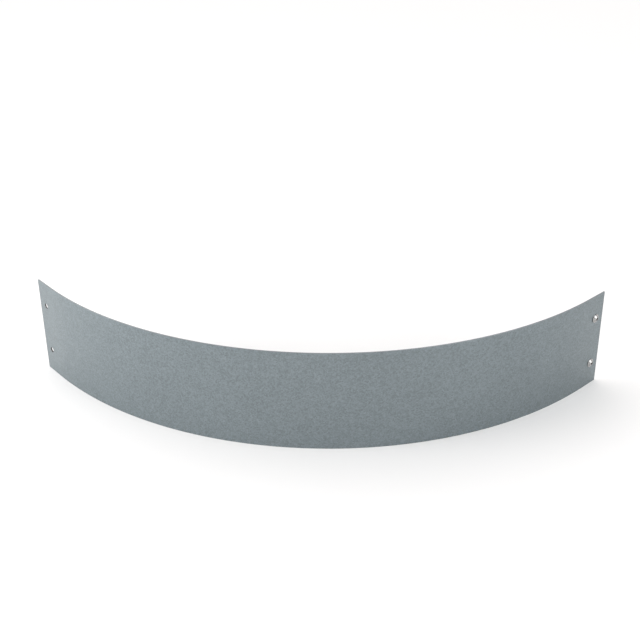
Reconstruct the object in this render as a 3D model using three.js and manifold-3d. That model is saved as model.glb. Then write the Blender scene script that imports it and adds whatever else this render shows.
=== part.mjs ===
// A quarter-circle outside-curve panel of galvanised steel edging, 150 mm high, standing on its
// long edge. The panel runs from a flat tab along X, round a quarter circle, to a flat tab along Y.
// The first tab has two plain screw holes. The second tab carries two screws, each with its washer
// and nut, ready to take the next panel. Millimetres, +Z up, with the origin under the middle of
// the whole part, at ground level.

import * as THREE from 'three';
import { mergeVertices } from 'three/addons/utils/BufferGeometryUtils.js';
import Module from 'manifold-3d';

const wasm = await Module();
wasm.setup();

// Panel
const OUTER_RADIUS = 550;      // to the outer, convex face
const SHEET = 2;               // steel thickness
const HEIGHT = 150;
const TAB = 35;                // flat length past each end of the curve
const ARC_STEPS = 64;          // facets round the quarter circle
const HOLE_DIAMETER = 8;
const HOLE_INSET = TAB / 2;    // from the free end of a tab to its hole centres
const HOLE_HEIGHTS = { lower: HEIGHT / 4, upper: (HEIGHT * 3) / 4 };

// M6 flanged button-head screw, 16 mm under the head
const SCREW_LENGTH = 16;
const SHANK_DIAMETER = 5.4;    // the thread's pitch diameter, as a plain cylinder
const POINT_CHAMFER = 0.6;
const FLANGE_DIAMETER = 13.2;
const FLANGE_THICKNESS = 1;
const FLANGE_EDGE = 0.2;
const HEAD_HEIGHT = 3.3;       // flange included
const DOME_DIAMETER = 10;      // where the dome meets the flange
const DOME_FLAT_DIAMETER = 5.4;
const DOME_STEPS = 6;
const SOCKET_ACROSS_FLATS = 4;
const SOCKET_DEPTH = 2.1;

// M6 plain washer and hexagon nut
const WASHER_DIAMETER = 12;
const WASHER_BORE = 6.4;
const WASHER_THICKNESS = 1.6;
const WASHER_EDGE = 0.25;
const NUT_ACROSS_FLATS = 10;
const NUT_THICKNESS = 5;
const NUT_BORE = 5.5;
const NUT_CHAMFER = 0.45;      // depth of the corner chamfer, along the nut
const NUT_TURN = { lower: 0.35, upper: -0.2 };   // how each nut was left, radians

const SEAT_GAP = 0.1;          // between faces that bear on each other
const ROUND_STEPS = 48;        // facets round a screw, washer, nut or hole
const CUT_MARGIN = 1;          // how far a cutter runs past what it cuts

// The curve's centre, which puts the origin under the middle of the part, screw heads included
const HEAD_STANDOFF = SEAT_GAP + HEAD_HEIGHT;
const CENTRE_X = (TAB - OUTER_RADIUS - HEAD_STANDOFF) / 2;
const CENTRE_Y = (OUTER_RADIUS - TAB) / 2;

const galvanisedSheet = { color: 0x8a979a, roughness: 0.5, metalness: 0.7 };
const brightZinc = { color: 0xd0cfca, roughness: 0.2, metalness: 1 };

const part = new THREE.Group();

function addMesh(parent, name, geometry, finish) {
  const mesh = new THREE.Mesh(geometry, new THREE.MeshStandardMaterial(finish));
  mesh.name = name;
  parent.add(mesh);
}

// ---- solids and booleans

function toSolid(geometry) {
  const bare = geometry.clone();
  bare.deleteAttribute('normal');
  bare.deleteAttribute('uv');
  const merged = mergeVertices(bare, 1e-4);
  return new wasm.Manifold(new wasm.Mesh({
    numProp: 3,
    vertProperties: new Float32Array(merged.attributes.position.array),
    triVerts: new Uint32Array(merged.index.array),
  }));
}

function toGeometry(solid) {
  const mesh = solid.getMesh();
  const geometry = new THREE.BufferGeometry();
  geometry.setAttribute('position', new THREE.BufferAttribute(mesh.vertProperties, 3));
  geometry.setIndex(new THREE.BufferAttribute(mesh.triVerts, 1));
  geometry.computeVertexNormals();
  return geometry;
}

// A profile of [radius, height] points turned about Z
function turned(profile) {
  const points = profile.map(([radius, height]) => new THREE.Vector2(radius, height));
  const geometry = new THREE.LatheGeometry(points, ROUND_STEPS);
  geometry.rotateX(Math.PI / 2);
  return geometry;
}

// A round or hexagonal bar along Z, from bottom to top
function bar(diameter, sides, bottom, top) {
  const geometry = new THREE.CylinderGeometry(diameter / 2, diameter / 2, top - bottom, sides);
  geometry.rotateX(Math.PI / 2);
  geometry.translate(0, 0, (bottom + top) / 2);
  return geometry;
}

function acrossCorners(acrossFlats) {
  return acrossFlats / Math.cos(Math.PI / 6);
}

// ---- panel

function panelOutline() {
  const inner = OUTER_RADIUS - SHEET;
  const start = -Math.PI / 2;
  const end = 0;
  const outline = new THREE.Shape();
  outline.moveTo(CENTRE_X - TAB, CENTRE_Y - OUTER_RADIUS);
  outline.lineTo(CENTRE_X, CENTRE_Y - OUTER_RADIUS);
  outline.absarc(CENTRE_X, CENTRE_Y, OUTER_RADIUS, start, end, false);
  outline.lineTo(CENTRE_X + OUTER_RADIUS, CENTRE_Y + TAB);
  outline.lineTo(CENTRE_X + inner, CENTRE_Y + TAB);
  outline.lineTo(CENTRE_X + inner, CENTRE_Y);
  outline.absarc(CENTRE_X, CENTRE_Y, inner, end, start, true);
  outline.lineTo(CENTRE_X - TAB, CENTRE_Y - inner);
  outline.closePath();
  return outline;
}

function holeCutter() {
  return bar(HOLE_DIAMETER, ROUND_STEPS, -SHEET - CUT_MARGIN, CUT_MARGIN);
}

// The two tab frames: local +Z is straight out of the convex face, and local +Y is up
function tabFrame(side, height) {
  const frame = new THREE.Group();
  const reach = TAB - HOLE_INSET;
  if (side === 'holes') {
    frame.position.set(CENTRE_X - reach, CENTRE_Y - OUTER_RADIUS, height);
    frame.rotation.set(Math.PI / 2, 0, 0);
  } else {
    frame.position.set(CENTRE_X + OUTER_RADIUS, CENTRE_Y + reach, height);
    frame.rotation.set(Math.PI / 2, Math.PI / 2, 0);
  }
  frame.updateMatrix();
  return frame;
}

function makePanel() {
  const plate = new THREE.ExtrudeGeometry(panelOutline(), {
    depth: HEIGHT,
    bevelEnabled: false,
    curveSegments: ARC_STEPS / 2,
  });
  let solid = toSolid(plate);
  for (const side of ['holes', 'screws']) {
    for (const height of Object.values(HOLE_HEIGHTS)) {
      const cutter = holeCutter().applyMatrix4(tabFrame(side, height).matrix);
      solid = solid.subtract(toSolid(cutter));
    }
  }
  return toGeometry(solid);
}

addMesh(part, 'curved_panel', makePanel(), galvanisedSheet);

// ---- screw, washer and nut, each along Z with the tab's outer face at 0

// The dome is an arc of a sphere, from the flange up to the small flat round the socket
function domePoints(seat) {
  const lowRadius = DOME_DIAMETER / 2;
  const topRadius = DOME_FLAT_DIAMETER / 2;
  const rise = HEAD_HEIGHT - FLANGE_THICKNESS;
  const below = (lowRadius ** 2 - topRadius ** 2 - rise ** 2) / (2 * rise);
  const sphere = Math.hypot(lowRadius, below);
  const points = [];
  for (let i = 0; i <= DOME_STEPS; i += 1) {
    const height = (rise * i) / DOME_STEPS;
    const radius = Math.sqrt(sphere ** 2 - (height + below) ** 2);
    points.push([radius, seat + FLANGE_THICKNESS + height]);
  }
  return points;
}

function makeScrew() {
  const seat = SEAT_GAP;
  const end = seat - SCREW_LENGTH;
  const top = seat + HEAD_HEIGHT;
  const shank = SHANK_DIAMETER / 2;
  const rim = FLANGE_DIAMETER / 2;
  const body = turned([
    [0, end],
    [shank - POINT_CHAMFER, end],
    [shank, end + POINT_CHAMFER],
    [shank, seat],
    [rim - FLANGE_EDGE, seat],
    [rim, seat + FLANGE_EDGE],
    [rim, seat + FLANGE_THICKNESS - FLANGE_EDGE],
    [rim - FLANGE_EDGE, seat + FLANGE_THICKNESS],
    ...domePoints(seat),
    [0, top],
  ]);
  const socket = bar(acrossCorners(SOCKET_ACROSS_FLATS), 6, top - SOCKET_DEPTH, top + CUT_MARGIN);
  return toGeometry(toSolid(body).subtract(toSolid(socket)));
}

function makeWasher() {
  const top = -SHEET - SEAT_GAP;
  const bottom = top - WASHER_THICKNESS;
  const rim = WASHER_DIAMETER / 2;
  const bore = WASHER_BORE / 2;
  return turned([
    [bore, bottom],
    [rim - WASHER_EDGE, bottom],
    [rim, bottom + WASHER_EDGE],
    [rim, top],
    [bore, top],
    [bore, bottom],
  ]);
}

function makeNut(turn) {
  const top = -SHEET - WASHER_THICKNESS - 2 * SEAT_GAP;
  const bottom = top - NUT_THICKNESS;
  const corner = acrossCorners(NUT_ACROSS_FLATS) / 2;
  const face = corner - NUT_CHAMFER * Math.sqrt(3);
  const hexagon = bar(2 * corner, 6, bottom, top);
  const chamferedBar = turned([
    [0, bottom],
    [face, bottom],
    [corner, bottom + NUT_CHAMFER],
    [corner, top - NUT_CHAMFER],
    [face, top],
    [0, top],
  ]);
  const bore = bar(NUT_BORE, ROUND_STEPS, bottom - CUT_MARGIN, top + CUT_MARGIN);
  const solid = toSolid(hexagon).intersect(toSolid(chamferedBar)).subtract(toSolid(bore));
  return toGeometry(solid).rotateZ(turn);
}

for (const [place, height] of Object.entries(HOLE_HEIGHTS)) {
  const frame = tabFrame('screws', height);
  addMesh(frame, `${place}_screw`, makeScrew(), brightZinc);
  addMesh(frame, `${place}_washer`, makeWasher(), brightZinc);
  addMesh(frame, `${place}_nut`, makeNut(NUT_TURN[place]), brightZinc);
  part.add(frame);
}

export default part;
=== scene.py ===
import math

import bmesh
import bpy
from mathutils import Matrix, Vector


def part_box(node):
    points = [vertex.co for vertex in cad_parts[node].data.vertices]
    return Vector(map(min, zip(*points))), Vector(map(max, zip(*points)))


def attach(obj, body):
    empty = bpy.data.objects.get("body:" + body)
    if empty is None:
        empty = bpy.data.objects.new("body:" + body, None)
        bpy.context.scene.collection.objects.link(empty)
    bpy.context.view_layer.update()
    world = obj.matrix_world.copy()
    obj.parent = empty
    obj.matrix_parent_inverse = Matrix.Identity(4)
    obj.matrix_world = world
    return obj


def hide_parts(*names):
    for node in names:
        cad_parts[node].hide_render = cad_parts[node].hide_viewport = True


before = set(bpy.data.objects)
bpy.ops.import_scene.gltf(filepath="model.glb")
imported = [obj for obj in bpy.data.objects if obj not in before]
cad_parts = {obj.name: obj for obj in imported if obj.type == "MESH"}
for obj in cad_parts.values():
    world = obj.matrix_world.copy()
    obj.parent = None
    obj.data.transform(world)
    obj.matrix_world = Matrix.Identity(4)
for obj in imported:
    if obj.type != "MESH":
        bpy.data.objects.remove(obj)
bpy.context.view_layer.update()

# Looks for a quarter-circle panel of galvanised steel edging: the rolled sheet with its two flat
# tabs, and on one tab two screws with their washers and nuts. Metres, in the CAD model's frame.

MM = 0.001
SCREW_PLACES = ("lower", "upper")

# Panel. Its place, height and radius come from the CAD node.
SHEET = 2 * MM
TAB = 35 * MM
HOLE_RADIUS = 4 * MM
HOLE_PATCH = 10 * MM           # half the square of sheet laid out round each hole
HOLE_STEPS = 48
CURVE_STEPS = 160
EDGE_ROUND = 0.22 * MM
EDGE_ROUND_STEPS = 3
EDGE_ANGLE = math.radians(50)  # edges that turn by more than this are rounded

# M6 thread
PITCH = 1 * MM
THREAD_RADIUS = 3 * MM
THREAD_DEPTH = 0.55 * MM
CREST_SHARE = 0.14             # of the pitch
ROOT_SHARE = 0.24
THREAD_ROWS = 14               # rings in one pitch
THREAD_CLEARANCE = 0.05 * MM   # between the screw's thread and the nut's

# Screw
SEAT_GAP = 0.1 * MM            # the CAD model's gap between faces that bear on each other
NECK = 0.8 * MM                # unthreaded length under the head
NECK_RUN_IN = 0.15 * MM        # where the thread fades into the neck
POINT_CUT = 0.75 * MM          # how far the cone at the point cuts into the thread
POINT_RING_RADIUS = 1.8 * MM   # a ring on the flat end
FLANGE_RADIUS = 6.6 * MM
FLANGE_THICKNESS = 1 * MM
FLANGE_ROUND = 0.28 * MM
FLANGE_ROUND_STEPS = 4
FILLET = 0.35 * MM             # where the dome runs into the flange
FILLET_BEND = (0.45, 0.12)     # a point of its curve, outward and up, in shares of FILLET
FILLET_TOP = 0.4               # the level where the dome takes over, as a share of FILLET
DOME_RADIUS = 5 * MM
DOME_FLAT_RADIUS = 2.7 * MM
DOME_STEPS = 12
SOCKET_HALF_FLATS = 2 * MM
SOCKET_DEPTH = 2.1 * MM
SOCKET_CHAMFER = 0.18 * MM
SOCKET_CONE = 0.7 * MM         # depth of the drill's cone in the socket's floor
SOCKET_CONE_RADIUS = 1.92 * MM
SOCKET_TIP_RADIUS = 0.2 * MM

# Washer and nut
WASHER_RADIUS = 6 * MM
WASHER_BORE = 3.2 * MM
WASHER_ROUND = 0.3 * MM        # the side that the punch entered
WASHER_ROUND_STEPS = 5
WASHER_BURR = 0.08 * MM        # the small bevel on the other edges
NUT_HALF_FLATS = 5 * MM
NUT_FACE_RADIUS = 4.9 * MM     # the flat left by the corner chamfer
NUT_CHAMFER = math.radians(30)
NUT_CORNER_TRIM = 0.985        # slightly blunted corners, as a share of the full corner radius
NUT_MOUTH = 0.35 * MM          # countersink of the threaded bore
NUT_TURN = {"lower": 0.35, "upper": -0.2}  # radians about the screw

RING_STEPS = 96                # washers and nuts
SCREW_RING_STEPS = 48
SHARP_ANGLE = math.radians(34)

# Base colours
SHEET_COLOR = (0.195, 0.228, 0.242)
EDGE_COLOR = (0.215, 0.235, 0.245)
# the holes' walls: dark as painted shade, for the shade inside the holes
HOLE_WALL_SHADE_COLOR = (0.085, 0.085, 0.082)
PLATING_COLOR = (0.40, 0.398, 0.392)
FLOOR_COLOR = (0.94, 0.926, 0.92, 1)

# Floor, light and camera, which has the photograph's viewing angle
FLOOR_HALF = 40
LIGHT_AIM = (0, 0, 0.05)       # the middle of the panel's box, a third of the way up
GLINT_AIM = (0.29, 0.275, 0.07)  # the tab with the screws
CAMERA_PLACE = (0.98398, -0.86415, 0.85044)
CAMERA_ANGLES = (65.5553, -0.0418, 47.4928)  # degrees
CAMERA_LENS = 57.288           # millimetres, like the sensor's width
CAMERA_SENSOR = 36
CAMERA_SHIFT = (-0.02886, -0.15625)  # sideways and up, in widths of the picture

panel_low, panel_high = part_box("curved_panel")
height = panel_high.z
curve_centre = Vector((panel_low.x + TAB, panel_high.y - TAB, 0))
outer_radius = panel_high.x - curve_centre.x
curve_length = outer_radius * math.pi / 2
hole_heights = [sum(corner.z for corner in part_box(f"{place}_washer")) / 2 for place in SCREW_PLACES]


# ---------------------------------------------------------------- materials

def new_material(name):
    """A material, its node tree and its shader."""
    material = bpy.data.materials.new(name)
    material.use_nodes = True
    tree = material.node_tree
    return material, tree, tree.nodes["Principled BSDF"]


def noise(tree, scale, detail, roughness=0.5, distortion=0.0, stretch=(1, 1, 1)):
    """Noise fixed to the piece. stretch multiplies its frequency along each axis."""
    node = tree.nodes.new("ShaderNodeTexNoise")
    node.inputs["Scale"].default_value = scale
    node.inputs["Detail"].default_value = detail
    node.inputs["Roughness"].default_value = roughness
    node.inputs["Distortion"].default_value = distortion
    place = tree.nodes.new("ShaderNodeTexCoord")
    scaled = tree.nodes.new("ShaderNodeVectorMath")
    scaled.operation = "MULTIPLY"
    scaled.inputs[1].default_value = stretch
    tree.links.new(place.outputs["Object"], scaled.inputs[0])
    tree.links.new(scaled.outputs["Vector"], node.inputs["Vector"])
    return node.outputs["Fac"]


def crystals(tree, scale, feather):
    """A random value for each crystal of the zinc, whose borders wander by about feather metres."""
    wander_scale = scale * 2.5
    place = tree.nodes.new("ShaderNodeTexCoord")
    wander = tree.nodes.new("ShaderNodeTexNoise")
    wander.inputs["Scale"].default_value = wander_scale
    wander.inputs["Detail"].default_value = 3
    tree.links.new(place.outputs["Object"], wander.inputs["Vector"])
    shift = tree.nodes.new("ShaderNodeVectorMath")
    shift.operation = "MULTIPLY_ADD"
    shift.inputs[1].default_value = (2 * feather, 2 * feather, 2 * feather)
    tree.links.new(wander.outputs["Color"], shift.inputs[0])
    tree.links.new(place.outputs["Object"], shift.inputs[2])
    node = tree.nodes.new("ShaderNodeTexVoronoi")
    node.inputs["Scale"].default_value = scale
    tree.links.new(shift.outputs["Vector"], node.inputs["Vector"])
    grey = tree.nodes.new("ShaderNodeRGBToBW")
    tree.links.new(node.outputs["Color"], grey.inputs["Color"])
    return grey.outputs["Val"]


def spread(tree, value, low, high, from_low=0.3, from_high=0.7):
    """A value mapped onto low..high and held there. Noise mostly lies between 0.3 and 0.7."""
    node = tree.nodes.new("ShaderNodeMapRange")
    node.inputs["From Min"].default_value = from_low
    node.inputs["From Max"].default_value = from_high
    node.inputs["To Min"].default_value = low
    node.inputs["To Max"].default_value = high
    tree.links.new(value, node.inputs["Value"])
    return node.outputs["Result"]


def product(tree, first, *others):
    """Values multiplied together."""
    value = first
    for other in others:
        node = tree.nodes.new("ShaderNodeMath")
        node.operation = "MULTIPLY"
        tree.links.new(value, node.inputs[0])
        tree.links.new(other, node.inputs[1])
        value = node.outputs["Value"]
    return value


def tinted(tree, color, strength):
    """A fixed colour, made lighter and darker by a value round 1."""
    node = tree.nodes.new("ShaderNodeVectorMath")
    node.operation = "SCALE"
    node.inputs[0].default_value = color
    tree.links.new(strength, node.inputs["Scale"])
    return node.outputs["Vector"]


def bump(tree, shader, heights, strength, distance):
    """Fine relief. distance is its depth in metres."""
    node = tree.nodes.new("ShaderNodeBump")
    node.inputs["Strength"].default_value = strength
    node.inputs["Distance"].default_value = distance
    tree.links.new(heights, node.inputs["Height"])
    tree.links.new(node.outputs["Normal"], shader.inputs["Normal"])


def galvanised_material():
    """Matt hot-dip zinc: small crystals, a cloudy bloom, a fine speckle and faint rolling lines."""
    material, tree, shader = new_material("galvanised_sheet")
    small = crystals(tree, scale=600, feather=0.35 * MM)
    large = crystals(tree, scale=170, feather=1.2 * MM)
    grit = noise(tree, scale=1500, detail=3, roughness=0.65)
    bloom = noise(tree, scale=14, detail=3, roughness=0.55, distortion=0.4)
    rolling = noise(tree, scale=1, detail=2, roughness=0.6, stretch=(6, 6, 900))
    tone = product(tree,
                   spread(tree, small, 0.82, 1.18, from_low=0.1, from_high=0.9),
                   spread(tree, large, 0.975, 1.025, from_low=0, from_high=1),
                   spread(tree, grit, 0.93, 1.07),
                   spread(tree, bloom, 0.982, 1.018),
                   spread(tree, rolling, 0.988, 1.012))
    tree.links.new(tinted(tree, SHEET_COLOR, tone), shader.inputs["Base Color"])
    shader.inputs["Metallic"].default_value = 0.7
    patches = spread(tree, noise(tree, scale=42, detail=3, roughness=0.6), 0.33, 0.39)
    facets = spread(tree, small, 0.88, 1.12, from_low=0.1, from_high=0.9)
    tree.links.new(product(tree, patches, facets), shader.inputs["Roughness"])
    relief = noise(tree, scale=900, detail=4, roughness=0.7)
    bump(tree, shader, relief, strength=0.3, distance=0.03 * MM)
    return material


def cut_edge_material():
    """The sheared edges: zinc drawn thin over the cut, a little brighter than the faces."""
    material, tree, shader = new_material("cut_edge")
    drawn = spread(tree, noise(tree, scale=700, detail=3, roughness=0.6), 0.84, 1.16)
    tree.links.new(tinted(tree, EDGE_COLOR, drawn), shader.inputs["Base Color"])
    shader.inputs["Metallic"].default_value = 0.75
    shader.inputs["Roughness"].default_value = 0.42
    bump(tree, shader, noise(tree, scale=1800, detail=2), strength=0.3, distance=0.02 * MM)
    return material


def shaded_hole_wall_material():
    """The walls of the punched holes: their dark colour is painted shade for the shade that falls inside
    the holes, with a fine speckle.
    """
    material, tree, shader = new_material("shaded_hole_wall")
    wall_speckle = spread(tree, noise(tree, scale=1300, detail=3, roughness=0.6), 0.7, 1.3)
    tree.links.new(tinted(tree, HOLE_WALL_SHADE_COLOR, wall_speckle), shader.inputs["Base Color"])
    shader.inputs["Metallic"].default_value = 0.6
    shader.inputs["Roughness"].default_value = 0.55
    bump(tree, shader, noise(tree, scale=1300, detail=3), strength=0.5, distance=0.05 * MM)
    return material


def bright_zinc_material():
    """Smooth zinc plating on the fasteners, with a little cloudiness from handling."""
    material, tree, shader = new_material("bright_zinc")
    cloud = spread(tree, noise(tree, scale=260, detail=3, roughness=0.6), 0.93, 1.05)
    tree.links.new(tinted(tree, PLATING_COLOR, cloud), shader.inputs["Base Color"])
    shader.inputs["Metallic"].default_value = 1.0
    smears = spread(tree, noise(tree, scale=420, detail=2), 0.2, 0.28)
    tree.links.new(smears, shader.inputs["Roughness"])
    bump(tree, shader, noise(tree, scale=2600, detail=2), strength=0.12, distance=0.01 * MM)
    return material


galvanised = galvanised_material()
cut_edge = cut_edge_material()
shaded_hole_wall = shaded_hole_wall_material()
bright_zinc = bright_zinc_material()


# ---------------------------------------------------------------- mesh helpers

def finish_piece(bm, name, materials, body, node):
    """Turns a bmesh into a smooth piece that stands for one CAD node and moves with its body."""
    bmesh.ops.recalc_face_normals(bm, faces=bm.faces)
    mesh = bpy.data.meshes.new(name)
    bm.to_mesh(mesh)
    bm.free()
    for material in materials:
        mesh.materials.append(material)
    mesh.shade_smooth()
    piece = bpy.data.objects.new(name, mesh)
    bpy.context.scene.collection.objects.link(piece)
    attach(piece, body)
    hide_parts(node)
    return piece


def arc(centre, radius, start, end, steps):
    """Points of an arc in a profile of (radius, level). Angles are in degrees."""
    points = []
    for i in range(steps + 1):
        angle = math.radians(start + (end - start) * i / steps)
        points.append((centre[0] + radius * math.cos(angle), centre[1] + radius * math.sin(angle)))
    return points


def hexagon_radius(half_flats, angle):
    """Distance from the axis to a hexagon's side in the direction of an angle."""
    sixth = math.pi / 3
    from_corner = angle % sixth
    return half_flats / math.cos(from_corner - sixth / 2)


def round_ring(radius, level, steps):
    """A round ring: the same (radius, level) at each step about the axis."""
    return [(radius, level)] * steps


def hexagon_ring(half_flats, level, steps):
    """A ring that follows a hexagon's six sides."""
    return [(hexagon_radius(half_flats, 2 * math.pi * i / steps), level) for i in range(steps)]


def thread_radius(angle, level):
    """The right-hand thread's radius at an angle about the screw and a level along it."""
    phase = (level / PITCH - angle / (2 * math.pi)) % 1.0
    from_crest = abs(phase - 0.5)
    flank = 0.5 - CREST_SHARE / 2 - ROOT_SHARE / 2
    down = (from_crest - CREST_SHARE / 2) / flank
    return THREAD_RADIUS - THREAD_DEPTH * min(max(down, 0.0), 1.0)


def threaded_rings(start, end, steps, extra=0.0, limit=None):
    """Rings of a thread from one level to another. limit(radius, level) caps or floors the radius."""
    count = max(2, round(abs(end - start) / PITCH * THREAD_ROWS))
    rings = []
    for row in range(count + 1):
        level = start + (end - start) * row / count
        ring = []
        for i in range(steps):
            radius = thread_radius(2 * math.pi * i / steps, level) + extra
            ring.append((limit(radius, level) if limit else radius, level))
        rings.append(ring)
    return rings


def skin(rings, local, closed):
    """A bmesh through a stack of rings of (radius, level) in a screw's local frame. A closed stack
    joins its last ring to its first, and an open one gets a point in the middle of each end."""
    bm = bmesh.new()
    steps = len(rings[0])
    stack = []
    for ring in rings:
        verts = []
        for i, (radius, level) in enumerate(ring):
            angle = 2 * math.pi * i / steps
            x = radius * math.cos(angle)
            y = radius * math.sin(angle)
            verts.append(bm.verts.new(local.point(x, y, level)))
        stack.append(verts)
    pairs = list(zip(stack, stack[1:]))
    if closed:
        pairs.append((stack[-1], stack[0]))
    for low, high in pairs:
        for i in range(steps):
            j = (i + 1) % steps
            bm.faces.new((low[i], low[j], high[j], high[i]))
    if not closed:
        for verts, level in ((stack[0], rings[0][0][1]), (stack[-1], rings[-1][0][1])):
            tip = bm.verts.new(local.point(0, 0, level))
            for i in range(steps):
                bm.faces.new((verts[i], verts[(i + 1) % steps], tip))
    return bm


# ---------------------------------------------------------------- panel

def on_sheet(run, level, depth):
    """A point of the sheet. run is measured along the outer face from the start of the curve, so
    it is below 0 on the drilled tab, and depth goes in from the outer face."""
    angle = min(max(run / outer_radius, 0.0), math.pi / 2)
    past = run - angle * outer_radius
    outward = Vector((math.sin(angle), -math.cos(angle), 0))
    along = Vector((math.cos(angle), math.sin(angle), 0))
    return curve_centre + outward * (outer_radius - depth) + along * past + Vector((0, 0, level))


def sheet_layout():
    """The flat layout of the panel, with two round holes in each tab: its points (run, level), its
    faces, and the number of its first point on a hole's rim."""
    hole_runs = [-TAB / 2, curve_length + TAB / 2]
    columns = [curve_length * i / CURVE_STEPS for i in range(CURVE_STEPS + 1)]
    columns += [-TAB, curve_length + TAB]
    for run in hole_runs:
        columns += [run - HOLE_PATCH, run + HOLE_PATCH]
    columns.sort()
    rows = [0.0, height]
    for level in hole_heights:
        rows += [level - HOLE_PATCH, level + HOLE_PATCH]
    rows.sort()

    points = [(run, level) for level in rows for run in columns]
    rim_start = len(points)

    def corner(i, j):
        """The number of the point in column i and row j."""
        return j * len(columns) + i

    faces = []
    for j in range(len(rows) - 1):
        for i in range(len(columns) - 1):
            middle = ((columns[i] + columns[i + 1]) / 2, (rows[j] + rows[j + 1]) / 2)
            square = [corner(i, j), corner(i + 1, j), corner(i + 1, j + 1), corner(i, j + 1)]
            hole = next(((run, level) for run in hole_runs for level in hole_heights
                         if math.dist(middle, (run, level)) < HOLE_RADIUS), None)
            if hole is None:
                faces.append(square)
            else:
                faces += hole_patch(points, square, hole)
    return points, faces, rim_start


def hole_patch(points, square, hole):
    """Four faces between a square and the round hole in its middle. Adds the rim's points."""
    first = len(points)
    first_corner = math.radians(-135)
    for i in range(HOLE_STEPS):
        angle = first_corner + 2 * math.pi * i / HOLE_STEPS
        points.append((hole[0] + HOLE_RADIUS * math.cos(angle), hole[1] + HOLE_RADIUS * math.sin(angle)))
    quarter = HOLE_STEPS // 4
    faces = []
    for side in range(4):
        rim = [first + (side * quarter + i) % HOLE_STEPS for i in range(quarter + 1)]
        faces.append([square[side], square[(side + 1) % 4]] + rim[::-1])
    return faces


def make_panel():
    """The sheet: the layout on its outer and inner faces, with walls wherever the layout ends."""
    points, faces, rim_start = sheet_layout()
    materials = [galvanised, cut_edge, shaded_hole_wall]
    bm = bmesh.new()
    outer = [bm.verts.new(on_sheet(run, level, 0)) for run, level in points]
    inner = [bm.verts.new(on_sheet(run, level, SHEET)) for run, level in points]
    directed = set()
    for face in faces:
        bm.faces.new([outer[i] for i in face])
        bm.faces.new([inner[i] for i in reversed(face)])
        directed.update(zip(face, face[1:] + face[:1]))
    for a, b in sorted(directed):
        if (b, a) not in directed:
            wall = bm.faces.new((outer[b], outer[a], inner[a], inner[b]))
            # walls round the holes get the dark painted-shade material, the outer edges the cut edge
            wall_material = shaded_hole_wall if min(a, b) >= rim_start else cut_edge
            wall.material_index = materials.index(wall_material)
    panel = finish_piece(bm, "rolled_panel", materials, "panel", "curved_panel")
    rounding = panel.modifiers.new("edge_round", "BEVEL")
    rounding.width = EDGE_ROUND
    rounding.segments = EDGE_ROUND_STEPS
    rounding.limit_method = "ANGLE"
    rounding.angle_limit = EDGE_ANGLE
    rounding.harden_normals = True


# ---------------------------------------------------------------- fasteners

class ScrewFrame:
    """The local frame of one screw, with +z straight out of the tab's outer face and +y up. Levels
    are measured along z from that face."""

    def __init__(self, place):
        low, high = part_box(f"{place}_washer")
        self.face = panel_high.x
        self.middle = (low + high) / 2

    def point(self, x, y, z):
        """A local point in the model's frame."""
        return Vector((self.face + z, self.middle.y + x, self.middle.z + y))


def make_fastener(name, node, rings, local, closed):
    """A bright piece through a stack of rings. Edges sharper than SHARP_ANGLE stay crisp."""
    piece = finish_piece(skin(rings, local, closed), name, [bright_zinc], node, node)
    piece.data.set_sharp_from_angle(angle=SHARP_ANGLE)


def head_profile(seat, top):
    """The head from under the flange up to the flat round the socket, as (radius, level)."""
    shelf = seat + FLANGE_THICKNESS
    rise = top - shelf
    # The dome is part of a sphere, whose middle lies this far below the shelf.
    below = (DOME_RADIUS ** 2 - DOME_FLAT_RADIUS ** 2 - rise ** 2) / (2 * rise)
    sphere = math.hypot(DOME_RADIUS, below)
    rim = FLANGE_RADIUS - FLANGE_ROUND
    profile = arc((rim, seat + FLANGE_ROUND), FLANGE_ROUND, -90, 0, FLANGE_ROUND_STEPS)
    profile += arc((rim, shelf - FLANGE_ROUND), FLANGE_ROUND, 0, 90, FLANGE_ROUND_STEPS)
    profile.append((DOME_RADIUS + FILLET, shelf))
    profile.append((DOME_RADIUS + FILLET * FILLET_BEND[0], shelf + FILLET * FILLET_BEND[1]))
    start = FILLET * FILLET_TOP
    for i in range(DOME_STEPS + 1):
        level = start + (rise - start) * math.sin(math.pi / 2 * i / DOME_STEPS)
        profile.append((math.sqrt(sphere ** 2 - (level + below) ** 2), shelf + level))
    return profile


def make_screw(place):
    """A flanged button-head screw, from its point up to the cone in its socket."""
    local = ScrewFrame(place)
    low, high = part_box(f"{place}_screw")
    end = low.x - local.face
    top = high.x - local.face
    neck = THREAD_RADIUS - THREAD_DEPTH / 2
    steps = SCREW_RING_STEPS

    def pointed(radius, level):
        """The thread's radius, cut down to a cone at the point."""
        return min(radius, THREAD_RADIUS - POINT_CUT + (level - end))

    rings = [round_ring(POINT_RING_RADIUS, end, steps)]
    rings += threaded_rings(end, SEAT_GAP - NECK, steps, limit=pointed)
    rings.append(round_ring(neck, SEAT_GAP - NECK + NECK_RUN_IN, steps))
    rings.append(round_ring(neck, SEAT_GAP, steps))
    rings += [round_ring(radius, level, steps) for radius, level in head_profile(SEAT_GAP, top)]
    rings.append(hexagon_ring(SOCKET_HALF_FLATS + SOCKET_CHAMFER, top, steps))
    rings.append(hexagon_ring(SOCKET_HALF_FLATS, top - SOCKET_CHAMFER, steps))
    rings.append(hexagon_ring(SOCKET_HALF_FLATS, top - SOCKET_DEPTH, steps))
    rings.append(round_ring(SOCKET_CONE_RADIUS, top - SOCKET_DEPTH, steps))
    rings.append(round_ring(SOCKET_TIP_RADIUS, top - SOCKET_DEPTH - SOCKET_CONE, steps))
    make_fastener(f"{place}_socket_screw", f"{place}_screw", rings, local, closed=False)


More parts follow.
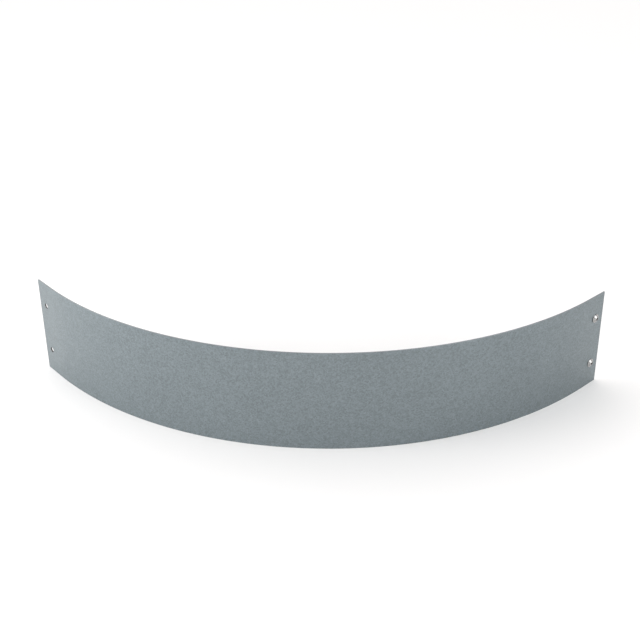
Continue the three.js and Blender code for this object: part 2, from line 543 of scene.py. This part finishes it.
def make_washer(place):
    """A punched washer, rounded on one side and crisp on the other."""
    local = ScrewFrame(place)
    low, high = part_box(f"{place}_washer")
    bottom = low.x - local.face
    top = high.x - local.face
    edge = (WASHER_RADIUS - WASHER_ROUND, bottom + WASHER_ROUND)
    profile = [(WASHER_BORE + WASHER_BURR, bottom)]
    profile += arc(edge, WASHER_ROUND, -90, 0, WASHER_ROUND_STEPS)
    profile += [(WASHER_RADIUS, top - WASHER_BURR), (WASHER_RADIUS - WASHER_BURR, top)]
    profile += [(WASHER_BORE + WASHER_BURR, top), (WASHER_BORE, top - WASHER_BURR)]
    profile += [(WASHER_BORE, bottom + WASHER_BURR)]
    rings = [round_ring(radius, level, RING_STEPS) for radius, level in profile]
    make_fastener(f"{place}_plain_washer", f"{place}_washer", rings, local, closed=True)


def make_nut(place):
    """A hexagon nut, from its threaded bore round the outside."""
    local = ScrewFrame(place)
    low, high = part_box(f"{place}_nut")
    bottom = low.x - local.face
    top = high.x - local.face
    steps = RING_STEPS
    turn = NUT_TURN[place]
    corner = NUT_HALF_FLATS / math.cos(math.pi / 6) * NUT_CORNER_TRIM

    def side(i):
        """Distance from the axis to the nut's blunted outline."""
        return min(hexagon_radius(NUT_HALF_FLATS, 2 * math.pi * i / steps - turn), corner)

    def chamfered(level, inward):
        """The curved line where the corner chamfer meets the six sides."""
        slope = inward * math.tan(NUT_CHAMFER)
        return [(side(i), level + slope * (side(i) - NUT_FACE_RADIUS)) for i in range(steps)]

    def mouthed(radius, level):
        """The bore's radius, opened up towards both faces."""
        from_face = min(level - bottom, top - level)
        return max(radius, THREAD_RADIUS + NUT_MOUTH - from_face)

    rings = threaded_rings(bottom, top, steps, extra=THREAD_CLEARANCE, limit=mouthed)
    rings.append(round_ring(NUT_FACE_RADIUS, top, steps))
    rings.append(chamfered(top, -1))
    rings.append(chamfered(bottom, 1))
    rings.append(round_ring(NUT_FACE_RADIUS, bottom, steps))
    make_fastener(f"{place}_hexagon_nut", f"{place}_nut", rings, local, closed=True)


make_panel()
for screw_place in SCREW_PLACES:
    make_screw(screw_place)
    make_washer(screw_place)
    make_nut(screw_place)


# ---------------------------------------------------------------- floor, light and camera

def make_floor():
    """A plain pale floor at z = 0."""
    corners = [(x * FLOOR_HALF, y * FLOOR_HALF, 0) for x, y in ((-1, -1), (1, -1), (1, 1), (-1, 1))]
    mesh = bpy.data.meshes.new("floor")
    mesh.from_pydata(corners, [], [(0, 1, 2, 3)])
    material, _, shader = new_material("floor")
    shader.inputs["Base Color"].default_value = FLOOR_COLOR
    shader.inputs["Roughness"].default_value = 0.9
    mesh.materials.append(material)
    floor = bpy.data.objects.new("floor", mesh)
    bpy.context.scene.collection.objects.link(floor)


def make_world(horizon, overhead, front, left):
    """A plain pale studio. Its strength is horizon all round, with so much more overhead, towards the
    front (-Y) and towards the left (-X)."""
    world = bpy.data.worlds.new("studio")
    bpy.context.scene.world = world
    world.use_nodes = True
    tree = world.node_tree
    place = tree.nodes.new("ShaderNodeTexCoord")
    split = tree.nodes.new("ShaderNodeSeparateXYZ")
    tree.links.new(place.outputs["Generated"], split.inputs["Vector"])
    total = spread(tree, split.outputs["Z"], horizon, horizon + overhead, from_low=0, from_high=1)
    for axis, extra in (("Y", front), ("X", left)):
        lobe = spread(tree, split.outputs[axis], extra, 0, from_low=-1, from_high=0)
        addition = tree.nodes.new("ShaderNodeMath")
        tree.links.new(total, addition.inputs[0])
        tree.links.new(lobe, addition.inputs[1])
        total = addition.outputs["Value"]
    tree.links.new(total, tree.nodes["Background"].inputs["Strength"])
    tree.nodes["Background"].inputs["Color"].default_value = (1, 1, 1, 1)


def make_area_light(name, position, target, size, power, only_glossy=False):
    """A round soft light. With only_glossy it shows in reflections and lights nothing else."""
    data = bpy.data.lights.new(name, "AREA")
    data.shape = "DISK"
    data.size = size
    data.energy = power
    light = bpy.data.objects.new(name, data)
    light.visible_camera = False
    light.visible_diffuse = not only_glossy
    bpy.context.scene.collection.objects.link(light)
    light.location = position
    direction = Vector(target) - Vector(position)
    light.rotation_euler = direction.to_track_quat("-Z", "Y").to_euler()


def make_camera():
    """Looks down at the panel's convex side."""
    data = bpy.data.cameras.new("camera")
    data.sensor_width = CAMERA_SENSOR
    data.lens = CAMERA_LENS
    data.shift_x, data.shift_y = CAMERA_SHIFT
    camera = bpy.data.objects.new("camera", data)
    bpy.context.scene.collection.objects.link(camera)
    camera.location = CAMERA_PLACE
    camera.rotation_euler = [math.radians(angle) for angle in CAMERA_ANGLES]
    bpy.context.scene.camera = camera


make_floor()
make_world(horizon=0.68, overhead=0.09, front=0.47, left=0.91)
make_area_light("front_left", (-1.13, -1.95, 0.62), LIGHT_AIM, size=1.2, power=29.3)
make_area_light("right", (2.11, 0.57, 0.76), LIGHT_AIM, size=0.8, power=10)
make_area_light("glint", (1.29, 0.38, 1.56), GLINT_AIM, size=1.35, power=34, only_glossy=True)
make_camera()
bpy.context.scene.view_settings.view_transform = "Standard"
